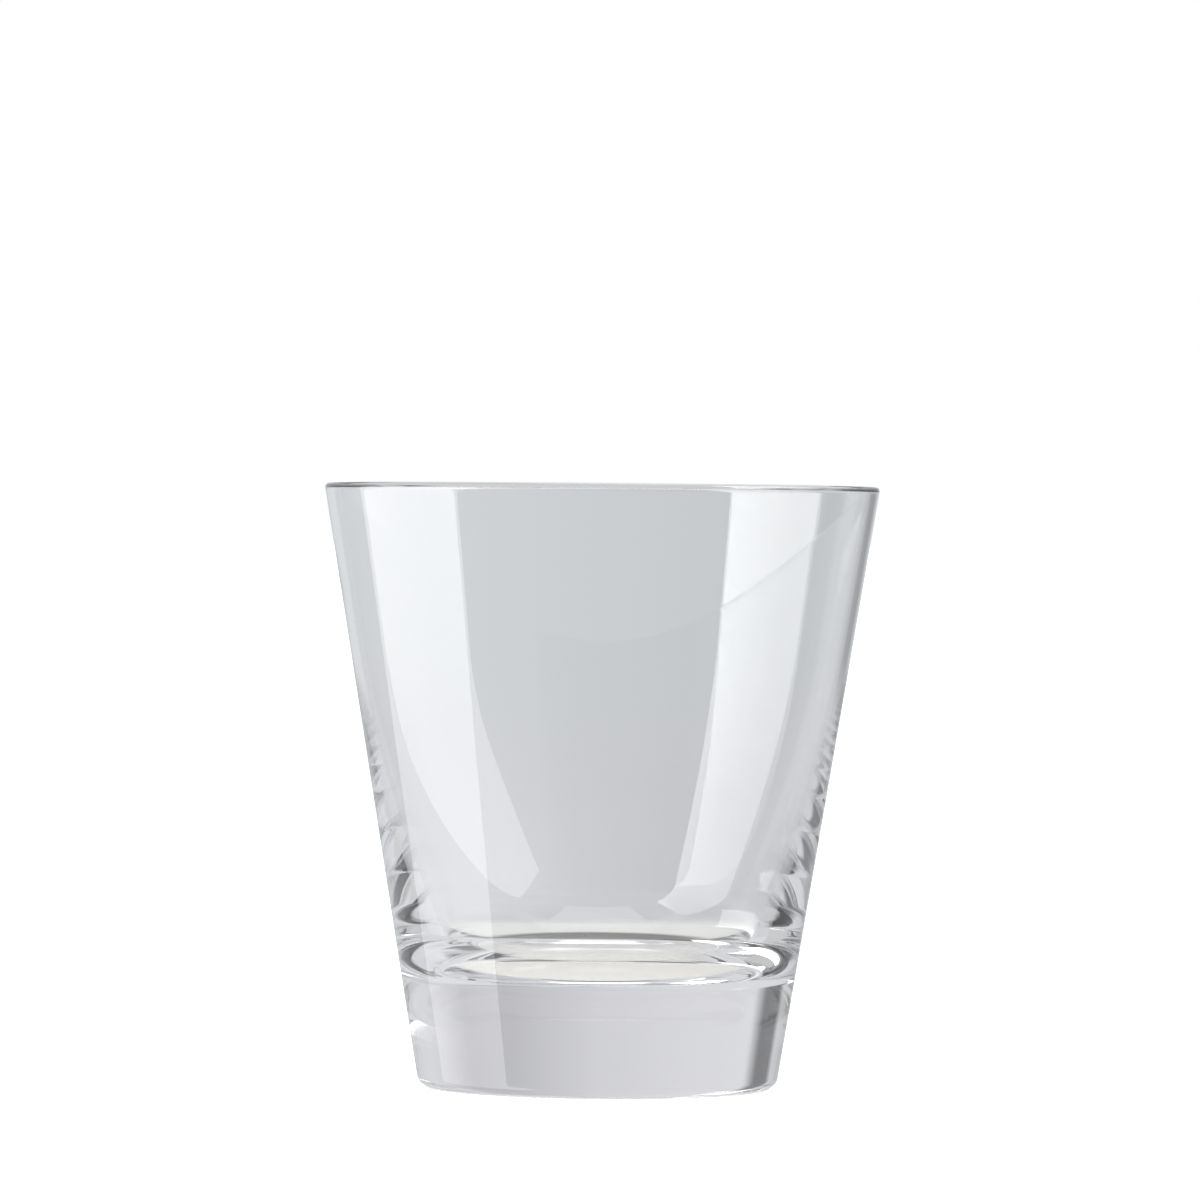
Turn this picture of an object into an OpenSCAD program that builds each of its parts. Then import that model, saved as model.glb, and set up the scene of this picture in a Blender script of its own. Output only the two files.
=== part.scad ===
// Tapered whiskey tumbler with a thick solid base, in one piece of clear glass.
// The origin is on the table, at the centre of the foot, and +Z is up.

/* [Overall] */
// Height from the table to the top of the lip
height = 97.5; // [85:0.5:110]
// Outer diameter of the side, measured where it would meet the top of the lip
rim_d = 90; // [84:0.5:100]
// Outer diameter of the side, measured where it would meet the table
foot_d = 58; // [54:0.5:70]

/* [Bowl] */
// Thickness of the wall near the lip, which is rounded to half of it
lip_t = 1.3; // [1:0.1:3]
// Height down to which the wall keeps that thickness
bend_z = 70; // [60:1:78]
// Radius of the bend below that height, by which the wall grows thicker
side_r = 220; // [180:5:400]
// Radius between the side of the bowl and its floor
floor_r = 12; // [6:0.5:14]

/* [Base] */
// Thickness of the solid glass under the bowl
base_t = 18.2; // [12:0.1:24]
// Radius of the outer edge of the foot
foot_r = 2; // [1:0.25:4]
// Width of the flat ring that the glass stands on
ring_w = 3; // [2:0.5:5]
// Depth of the shallow dish in the underside
dish_h = 0.5; // [0.3:0.1:1]

/* [Hidden] */
$fn = 128;

// Steps in each rounded stretch of the outline
arc_steps = 12;
glass_tint = [0.86, 0.89, 0.90, 0.4];

// Lean of the outer side from the vertical, which the inner side shares above the bend
lean = atan((rim_d - foot_d) / 2 / height);

// Radius of the outer side at height z, before its edges are rounded
function outer_at(z) = foot_d / 2 + z * tan(lean);

// Centre of the round of the lip, which touches the outer and inner sides
lip_r = lip_t / 2;
lip_z = height - lip_r;
lip_x = outer_at(lip_z) - lip_r / cos(lean);

// Centre of the bend, which starts where the straight part of the inner side ends
bend_x = outer_at(bend_z) - lip_t / cos(lean);
side_x = bend_x - side_r * cos(lean);
side_z = bend_z + side_r * sin(lean);

// Centre of the round that touches the bend and the floor, and the lean where it meets the bend
floor_z = base_t + floor_r;
floor_lean = asin((side_z - floor_z) / (side_r - floor_r));
floor_x = side_x + (side_r - floor_r) * cos(floor_lean);

// Centre of the round of the foot
foot_x = outer_at(foot_r) - foot_r / cos(lean);

// Radius of the sphere that the dish is a cap of
dish_rim = foot_x - ring_w;
dish_r = (dish_rim * dish_rim + dish_h * dish_h) / (2 * dish_h);

// Points on a circle about [x, z], from one angle to another
function arc(x, z, r, from, to) = [
    for (i = [0:arc_steps])
        let (a = from + (to - from) * i / arc_steps)
            [x + r * cos(a), z + r * sin(a)]
];

// Half of the section: up the middle of the underside, round the foot, up the outer side,
// over the lip, down the inner side and round to the middle of the floor
function section() = concat(
    arc(0, dish_h - dish_r, dish_r, 90, 90 - asin(dish_rim / dish_r)),
    arc(foot_x, foot_r, foot_r, -90, -lean),
    arc(lip_x, lip_z, lip_r, -lean, 180 - lean),
    arc(side_x, side_z, side_r, -lean, -floor_lean),
    arc(floor_x, floor_z, floor_r, -floor_lean, -90),
    [[0, base_t]]
);

module tumbler() {
    color(glass_tint)
        rotate_extrude()
            polygon(section());
}

tumbler();
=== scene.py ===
import math

import bmesh
import bpy
from mathutils import Matrix, Vector


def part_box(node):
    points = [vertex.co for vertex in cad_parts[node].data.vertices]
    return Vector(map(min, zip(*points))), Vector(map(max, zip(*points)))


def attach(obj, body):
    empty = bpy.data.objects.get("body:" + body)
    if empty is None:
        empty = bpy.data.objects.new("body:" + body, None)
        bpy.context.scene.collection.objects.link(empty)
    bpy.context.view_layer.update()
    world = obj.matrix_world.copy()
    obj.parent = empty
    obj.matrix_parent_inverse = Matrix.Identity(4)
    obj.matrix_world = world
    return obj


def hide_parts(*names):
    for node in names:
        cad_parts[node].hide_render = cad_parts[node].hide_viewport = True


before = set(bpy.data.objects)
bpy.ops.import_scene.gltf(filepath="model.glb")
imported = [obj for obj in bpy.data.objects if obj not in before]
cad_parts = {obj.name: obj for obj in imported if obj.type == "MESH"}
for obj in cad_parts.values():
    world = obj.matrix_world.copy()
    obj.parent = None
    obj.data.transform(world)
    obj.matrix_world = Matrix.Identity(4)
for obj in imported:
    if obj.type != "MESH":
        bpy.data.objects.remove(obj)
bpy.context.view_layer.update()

MM = 0.001

# ---------------------------------------------------------------- the glass: section, mesh and material

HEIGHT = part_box("tumbler")[1][2]
RIM_R = 45 * MM          # outer side where it would meet the top of the lip
FOOT_R = 29 * MM         # outer side where it would meet the table
LIP_T = 1.3 * MM         # wall near the lip, which is rounded to half of it
BEND_Z = 70 * MM         # height down to which the wall keeps that thickness
SIDE_R = 220 * MM        # bend of the inner side below that height
FLOOR_R = 12 * MM        # round between the inner side and the floor of the bowl
BASE_T = 18.2 * MM       # solid glass under the bowl
EDGE_R = 2 * MM          # round of the foot
RING_W = 3 * MM          # flat ring that the glass stands on
DISH_H = 0.5 * MM        # shallow dish in the underside

ON_AXIS = 1e-7           # a smaller radius than this is a point on the axis
SEGMENTS = 384           # round the glass

# Steps along each stretch of the section
DISH_STEPS = 24
RING_STEPS = 12
FOOT_STEPS = 24
OUTER_STEPS = 200
LIP_STEPS = 32
INNER_STEPS = 60
SIDE_STEPS = 64
CORNER_STEPS = 64
FLOOR_STEPS = 40


def arc(x, z, r, start, end, steps):
    """Points on a circle about (x, z), with both angles in radians."""
    points = []
    for i in range(steps + 1):
        a = start + (end - start) * i / steps
        points.append((x + r * math.cos(a), z + r * math.sin(a)))
    return points


def straight(start, end, steps):
    """Points between two ends, so that the rounds beside a long side don't tilt its smooth shading."""
    points = []
    for i in range(1, steps):
        t = i / steps
        points.append((start[0] + (end[0] - start[0]) * t, start[1] + (end[1] - start[1]) * t))
    return points


def glass_section():
    """Half section from the middle of the underside to the middle of the bowl's floor."""
    lean = math.atan((RIM_R - FOOT_R) / HEIGHT)

    def outer_at(z):
        return FOOT_R + z * math.tan(lean)

    lip_r = LIP_T / 2
    lip_z = HEIGHT - lip_r
    lip_x = outer_at(lip_z) - lip_r / math.cos(lean)

    side_x = outer_at(BEND_Z) - LIP_T / math.cos(lean) - SIDE_R * math.cos(lean)
    side_z = BEND_Z + SIDE_R * math.sin(lean)

    floor_z = BASE_T + FLOOR_R
    floor_lean = math.asin((side_z - floor_z) / (SIDE_R - FLOOR_R))
    floor_x = side_x + (SIDE_R - FLOOR_R) * math.cos(floor_lean)

    foot_x = outer_at(EDGE_R) - EDGE_R / math.cos(lean)
    dish_rim = foot_x - RING_W
    dish_r = (dish_rim ** 2 + DISH_H ** 2) / (2 * DISH_H)

    up = math.pi / 2
    dish = arc(0, DISH_H - dish_r, dish_r, up, up - math.asin(dish_rim / dish_r), DISH_STEPS)
    foot = arc(foot_x, EDGE_R, EDGE_R, -up, -lean, FOOT_STEPS)
    lip = arc(lip_x, lip_z, lip_r, -lean, math.pi - lean, LIP_STEPS)
    side = arc(side_x, side_z, SIDE_R, -lean, -floor_lean, SIDE_STEPS)
    corner = arc(floor_x, floor_z, FLOOR_R, -floor_lean, -up, CORNER_STEPS)
    middle = (0, BASE_T)
    section = dish + straight(dish[-1], foot[0], RING_STEPS) + foot
    section += straight(foot[-1], lip[0], OUTER_STEPS) + lip
    section += straight(lip[-1], side[0], INNER_STEPS) + side + corner[1:]
    section += straight(corner[-1], middle, FLOOR_STEPS) + [middle]
    return section


def revolve(name, section, segments):
    """A closed mesh made by turning the section round the Z axis."""
    bm = bmesh.new()
    rings = []
    for (r, z) in section:
        if r < ON_AXIS:
            rings.append([bm.verts.new((0, 0, z))])
            continue
        ring = []
        for i in range(segments):
            a = 2 * math.pi * i / segments
            ring.append(bm.verts.new((r * math.cos(a), r * math.sin(a), z)))
        rings.append(ring)
    for (low, high) in zip(rings[:-1], rings[1:]):
        for i in range(segments):
            j = (i + 1) % segments
            if len(low) == 1:
                bm.faces.new((low[0], high[j], high[i]))
            elif len(high) == 1:
                bm.faces.new((low[i], low[j], high[0]))
            else:
                bm.faces.new((low[i], low[j], high[j], high[i]))
    bmesh.ops.recalc_face_normals(bm, faces=bm.faces)
    mesh = bpy.data.meshes.new(name)
    bm.to_mesh(mesh)
    bm.free()
    for face in mesh.polygons:
        face.use_smooth = True
    return add_object(name, mesh)


def add_object(name, data):
    """An object in the scene that shows the mesh, light or camera it is given."""
    thing = bpy.data.objects.new(name, data)
    bpy.context.scene.collection.objects.link(thing)
    return thing


def add_node(tree, kind, inputs, **settings):
    """A new shader node. Each input is given as a value, or as the socket that feeds it."""
    node = tree.nodes.new("ShaderNode" + kind)
    for (name, value) in settings.items():
        setattr(node, name, value)
    for (name, value) in inputs.items():
        if isinstance(value, bpy.types.NodeSocket):
            tree.links.new(value, node.inputs[name])
        else:
            node.inputs[name].default_value = value
    return node


def compute(tree, operation, *values):
    """The result of a Math node."""
    return add_node(tree, "Math", dict(enumerate(values)), operation=operation).outputs[0]


def map_range(tree, value, source, target=(0, 1)):
    """The value carried from one range to another, and held at the ends."""
    (low, high) = source
    (start, end) = target
    inputs = {"Value": value, "From Min": low, "From Max": high, "To Min": start, "To Max": end}
    return add_node(tree, "MapRange", inputs).outputs["Result"]


def patches(tree, where, per_metre, detail):
    """Soft patches of noise, about this many to the metre, as a value round a half."""
    return add_node(tree, "TexNoise", {"Vector": where, "Scale": per_metre, "Detail": detail}).outputs["Fac"]


def mix_colors(tree, factor, first, second):
    """A colour that turns from the first to the second as the factor goes from 0 to 1."""
    inputs = {"Factor": factor, "A": first, "B": second}
    return add_node(tree, "Mix", inputs, data_type="RGBA").outputs["Result"]


GLASS_IOR = 1.52
COOL_TINT = (0.993, 0.996, 0.998, 1)
CLEAR_TINT = (0.997, 0.998, 0.998, 1)
STREAKS_PER_METRE = 45       # streaks of tint and haze, about 2 cm across
HAZY_STREAKS = (0.5, 0.8)    # strengths of a streak at which haze starts and is full
HAZE = 0.03                  # roughness where the haze is full
WAVES_PER_METRE = 40
WAVE_HEIGHT = 0.02 * MM


def clear_glass():
    """Clear soda-lime glass with a faint cool tint, moulding ripple and a trace of wiping haze."""
    material = bpy.data.materials.new("clear_glass")
    material.use_nodes = True
    tree = material.node_tree
    shader = tree.nodes["Principled BSDF"]
    shader.inputs["IOR"].default_value = GLASS_IOR
    shader.inputs["Transmission Weight"].default_value = 1

    where = add_node(tree, "TexCoord", {}).outputs["Object"]
    streaks = patches(tree, where, STREAKS_PER_METRE, detail=3)
    waves = patches(tree, where, WAVES_PER_METRE, detail=1)
    tint = mix_colors(tree, streaks, COOL_TINT, CLEAR_TINT)
    haze = map_range(tree, streaks, HAZY_STREAKS, (0, HAZE))
    ripple = add_node(tree, "Bump", {"Height": waves, "Distance": WAVE_HEIGHT}).outputs["Normal"]
    tree.links.new(tint, shader.inputs["Base Color"])
    tree.links.new(haze, shader.inputs["Roughness"])
    tree.links.new(ripple, shader.inputs["Normal"])
    return material


glass = revolve("glass_body", glass_section(), SEGMENTS)
glass.data.materials.append(clear_glass())
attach(glass, "root")
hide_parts("tumbler")

# ---------------------------------------------------------------- the stage: floor, surroundings and lights
#
# Ray Depth tells how many times a path of light has met the glass: on a panel it is that number, and in the
# world it is one more. A path through the glass meets it an even number of times, and a path that is also
# mirrored once meets it an odd number of times. It is a whole number, so a limit lies halfway between two.

SHEET_DEPTH = 3.5        # in the world, a deeper path has met more than the two faces of one sheet of glass
LONG_DEPTH = 7.5         # a deeper path is a long one, which has run about inside the glass

FLOOR_RADIUS = 6
FLOOR_Z = -0.4 * MM
FLOOR_COLOR = (0.92, 0.92, 0.92)
FLOOR_GLOW = 1.05
STAND_RADIUS = 28 * MM
STAND_Z = -0.2 * MM
STAND_COLOR = (0.94, 0.93, 0.89)
STAND_GLOW = 0.5
DISC_SEGMENTS = 128
MATT = 0.9               # roughness of both


def pale_disc(name, radius, z, color, glow):
    """A round, level piece of the stage in a pale matt finish that glows a little, as lit paper does."""
    bm = bmesh.new()
    bmesh.ops.create_circle(bm, cap_ends=True, segments=DISC_SEGMENTS, radius=radius)
    mesh = bpy.data.meshes.new(name)
    bm.to_mesh(mesh)
    bm.free()
    material = bpy.data.materials.new(name)
    material.use_nodes = True
    shader = material.node_tree.nodes["Principled BSDF"]
    shader.inputs["Base Color"].default_value = (*color, 1)
    shader.inputs["Roughness"].default_value = MATT
    shader.inputs["Specular IOR Level"].default_value = 0
    shader.inputs["Emission Color"].default_value = (*color, 1)
    shader.inputs["Emission Strength"].default_value = glow
    mesh.materials.append(material)
    disc = add_object(name, mesh)
    disc.location.z = z
    disc.visible_glossy = False
    return disc


def stage_floor():
    """A wide pale floor for the eye, and a small pale stand that shows through the base of the glass."""
    floor = pale_disc("stage_floor", FLOOR_RADIUS, FLOOR_Z, FLOOR_COLOR, FLOOR_GLOW)
    floor.visible_transmission = False
    pale_disc("stage_stand", STAND_RADIUS, STAND_Z, STAND_COLOR, STAND_GLOW)


# Tones of the surroundings, chosen to give the look of the photograph. Each stop is an azimuth in
# degrees, from 0 at the back and growing to the left, and a level of light. Each band takes over from what is
# below it between the two heights of the direction in its start.
LOW_BAND = [(-180, 0.65), (-95, 0.50), (-40, 0.64), (-20, 0.58), (-8, 0.65), (-3, 0.57), (0, 0.62), (4, 0.68),
            (45, 0.74), (90, 0.74), (180, 0.65)]
LEVEL_BAND = [(-180, 0.62), (-90, 0.66), (-40, 0.50), (-20, 0.20), (-15, 0.36), (-11, 0.62), (-7, 0.68),
              (-3, 0.57), (0, 0.62), (4, 0.68), (20, 0.74), (46, 0.72), (180, 0.62)]
HIGH_BAND = [(-180, 0.62), (-90, 0.68), (-57, 0.70), (-45, 0.64), (-33, 0.48), (-19, 0.50), (0, 0.64),
             (20, 0.70), (43, 0.74), (50, 0.14), (62, 0.06), (68, 0.6), (180, 0.62)]
LOW_START = (-0.68, -0.6)
LEVEL_START = (-0.2, -0.02)
HIGH_START = (0.0, 0.06)
LOW_TINT = (0.98, 0.99, 1.03)
LEVEL_TINT = (0.97, 1.0, 1.03)
HIGH_TINT = (0.985, 0.985, 1.035)

# Tones at the end of a long path: bright at the left and right, dark at the back right and behind the camera
LONG_BAND = [(-180, 0.04), (-165, 0.04), (-145, 0.65), (-76, 0.70), (-62, 0.16), (-22, 0.12), (-4, 0.62),
             (60, 0.74), (118, 0.66), (136, 0.04), (180, 0.04)]
LONG_TINT = (0.98, 0.99, 1.03)

# Tones below the bands: pale, and dark straight down for a path deeper than one sheet of glass. Each stop is
# a fraction of the way from straight down to straight up, and a level of light.
PALE_BELOW = (0.82, 0.82, 0.80, 1)
DARK_BELOW = [(0.08, 0.15), (0.10, 0.82)]
DARK_BELOW_TINT = (1.0, 1.0, 0.97)


def tone_ramp(tree, fraction, stops, tint):
    """A ramp of tinted grays over a fraction from 0 to 1. Each stop is a fraction and a level of light."""
    ramp = add_node(tree, "ValToRGB", {"Fac": fraction})
    elements = ramp.color_ramp.elements
    elements.remove(elements[-1])
    for (index, (position, level)) in enumerate(stops):
        stop = elements[0] if index == 0 else elements.new(position)
        stop.position = position
        stop.color = (*[level * t for t in tint], 1)
    return ramp.outputs["Color"]


def azimuth_ramp(tree, turn, stops, tint):
    """A ramp of tinted grays round the horizon, over the azimuth as a fraction of a turn."""
    return tone_ramp(tree, turn, [(azimuth / 360 + 0.5, level) for (azimuth, level) in stops], tint)


def world_light():
    """White behind the glass to the eye, and a studio in cool grays by direction in the glass."""
    world = bpy.data.worlds.new("studio")
    bpy.context.scene.world = world
    world.use_nodes = True
    tree = world.node_tree
    tree.nodes.clear()
    direction = add_node(tree, "TexCoord", {}).outputs["Generated"]
    parts = add_node(tree, "SeparateXYZ", {"Vector": direction}).outputs
    path = add_node(tree, "LightPath", {}).outputs
    left = compute(tree, "MULTIPLY", parts["X"], -1)
    azimuth = compute(tree, "ARCTAN2", left, parts["Y"])
    turn = compute(tree, "MULTIPLY_ADD", azimuth, 1 / (2 * math.pi), 0.5)
    upward = compute(tree, "MULTIPLY_ADD", parts["Z"], 0.5, 0.5)

    past_sheet = compute(tree, "GREATER_THAN", path["Ray Depth"], SHEET_DEPTH)
    tone = mix_colors(tree, past_sheet, PALE_BELOW, tone_ramp(tree, upward, DARK_BELOW, DARK_BELOW_TINT))
    bands = [
        (LOW_START, LOW_BAND, LOW_TINT),
        (LEVEL_START, LEVEL_BAND, LEVEL_TINT),
        (HIGH_START, HIGH_BAND, HIGH_TINT),
    ]
    for (start, stops, tint) in bands:
        above = map_range(tree, parts["Z"], start)
        tone = mix_colors(tree, above, tone, azimuth_ramp(tree, turn, stops, tint))
    long_path = compute(tree, "GREATER_THAN", path["Ray Depth"], LONG_DEPTH)
    tone = mix_colors(tree, long_path, tone, azimuth_ramp(tree, turn, LONG_BAND, LONG_TINT))

    studio = add_node(tree, "Background", {"Color": tone}).outputs[0]
    white = add_node(tree, "Background", {"Color": (1, 1, 1, 1)}).outputs[0]
    seen = add_node(tree, "MixShader", {0: path["Is Camera Ray"], 1: studio, 2: white}).outputs[0]
    add_node(tree, "OutputWorld", {"Surface": seen})


SOFTBOX_X = -0.4
SOFTBOX_NEAR = -0.21     # edge towards the camera
SOFTBOX_FAR = 0.20
SOFTBOX_TOP = 0.65
SOFTBOX_KNEE = -0.08     # height below which it sweeps towards the camera
SWEEP = [(0.02, -0.04), (0.06, -0.08), (0.12, -0.13), (0.2, -0.2), (0.3, -0.3), (0.42, -0.42)]
NEAR_SWEEP = (0.55, 1.25)            # shares of the sweep in the near edge, towards the camera and down
SOFTBOX_ACROSS = (3.8, 2.0)          # strength at the near and far edges
SOFTBOX_HEIGHTS = (-0.1, 0.2)
SOFTBOX_UPWARD = (0.85, 1.45)        # factor on the strength at those heights
SOFTBOX_DIM = 0.6                    # strength in a path that is long or isn't mirrored


def softbox_outline():
    """Corners of the softbox as (y, z), down its near edge and up its far edge."""
    (wide, deep) = NEAR_SWEEP
    outline = [(SOFTBOX_NEAR, SOFTBOX_TOP), (SOFTBOX_NEAR, SOFTBOX_KNEE)]
    outline += [(SOFTBOX_NEAR - wide * out, SOFTBOX_KNEE + deep * down) for (out, down) in SWEEP]
    outline += [(SOFTBOX_FAR - out, SOFTBOX_KNEE + down) for (out, down) in reversed(SWEEP)]
    outline += [(SOFTBOX_FAR, SOFTBOX_KNEE), (SOFTBOX_FAR, SOFTBOX_TOP)]
    return outline


def softbox_glow():
    """Glow of the softbox, brighter towards the camera and the top, and full only where the glass mirrors it.

    So it draws highlights in the glass without showing through it.
    """
    material = bpy.data.materials.new("stage_softbox")
    material.use_nodes = True
    tree = material.node_tree
    tree.nodes.clear()
    where = add_node(tree, "TexCoord", {}).outputs["Object"]
    parts = add_node(tree, "SeparateXYZ", {"Vector": where}).outputs
    across = map_range(tree, parts["Y"], (SOFTBOX_NEAR, SOFTBOX_FAR), SOFTBOX_ACROSS)
    upward = map_range(tree, parts["Z"], SOFTBOX_HEIGHTS, SOFTBOX_UPWARD)
    strength = compute(tree, "MULTIPLY", across, upward)

    # An odd depth means a mirrored path
    depth = add_node(tree, "LightPath", {}).outputs["Ray Depth"]
    mirrored = compute(tree, "MODULO", depth, 2)
    short = compute(tree, "LESS_THAN", depth, LONG_DEPTH)
    bright = compute(tree, "MULTIPLY", mirrored, short)
    kept = add_node(tree, "Mix", {"Factor": bright, "A": SOFTBOX_DIM, "B": strength}).outputs["Result"]
    glow = add_node(tree, "Emission", {"Strength": kept}).outputs[0]
    add_node(tree, "OutputMaterial", {"Surface": glow})
    return material


def side_softbox():
    """Tall softbox to the left of the glass."""
    corners = [(SOFTBOX_X, y, z) for (y, z) in softbox_outline()]
    mesh = bpy.data.meshes.new("stage_softbox")
    mesh.from_pydata(corners, [], [range(len(corners))])
    mesh.materials.append(softbox_glow())
    panel = add_object("stage_softbox", mesh)
    panel.visible_camera = False
    panel.visible_shadow = False


TOP_LIGHT_Z = 0.9
TOP_LIGHT_SIZE = 0.5
TOP_LIGHT_RADIANCE = 1.6
TOP_LIGHT_COLOR = (1, 0.99, 0.97)


def top_softbox():
    """Square soft light over the glass, which shines straight down as it isn't turned."""
    light = bpy.data.lights.new("top_softbox", "AREA")
    light.shape = "SQUARE"
    light.size = TOP_LIGHT_SIZE
    light.energy = TOP_LIGHT_RADIANCE * math.pi * TOP_LIGHT_SIZE ** 2
    light.color = TOP_LIGHT_COLOR
    lamp = add_object("top_softbox", light)
    lamp.location.z = TOP_LIGHT_Z
    lamp.visible_camera = False


# ---------------------------------------------------------------- camera and render settings

CAMERA_DISTANCE = 1.6
CAMERA_RISE = math.radians(0.5)      # angle at which it looks down on the lip
CAMERA_ROLL = math.radians(0.5)
CAMERA_LEFT = 0.24 * MM
VIEW_WIDTH = 194.35 * MM             # width of the view at the glass
AIM_BELOW_LIP = 18.63 * MM
SENSOR_WIDTH = 36                    # in millimetres, as the lens is
MAX_BOUNCES = 128                    # enough for light that runs along inside the wall


def studio_camera():
    """Camera a little above the lip, rolled as the photograph is."""
    place = Vector((-CAMERA_LEFT, -CAMERA_DISTANCE, HEIGHT + CAMERA_DISTANCE * math.tan(CAMERA_RISE)))
    aim = Vector((-CAMERA_LEFT, 0, HEIGHT - AIM_BELOW_LIP))
    data = bpy.data.cameras.new("camera")
    data.sensor_width = SENSOR_WIDTH
    data.lens = SENSOR_WIDTH * CAMERA_DISTANCE / VIEW_WIDTH
    look = (aim - place).to_track_quat("-Z", "Y")
    roll = Matrix.Rotation(CAMERA_ROLL, 4, "Z").to_quaternion()
    camera = add_object("camera", data)
    camera.location = place
    camera.rotation_mode = "QUATERNION"
    camera.rotation_quaternion = look @ roll
    bpy.context.scene.camera = camera


stage_floor()
world_light()
side_softbox()
top_softbox()
studio_camera()

scene = bpy.context.scene
scene.view_settings.view_transform = "Standard"
scene.cycles.max_bounces = MAX_BOUNCES
scene.cycles.transmission_bounces = MAX_BOUNCES
scene.cycles.glossy_bounces = MAX_BOUNCES
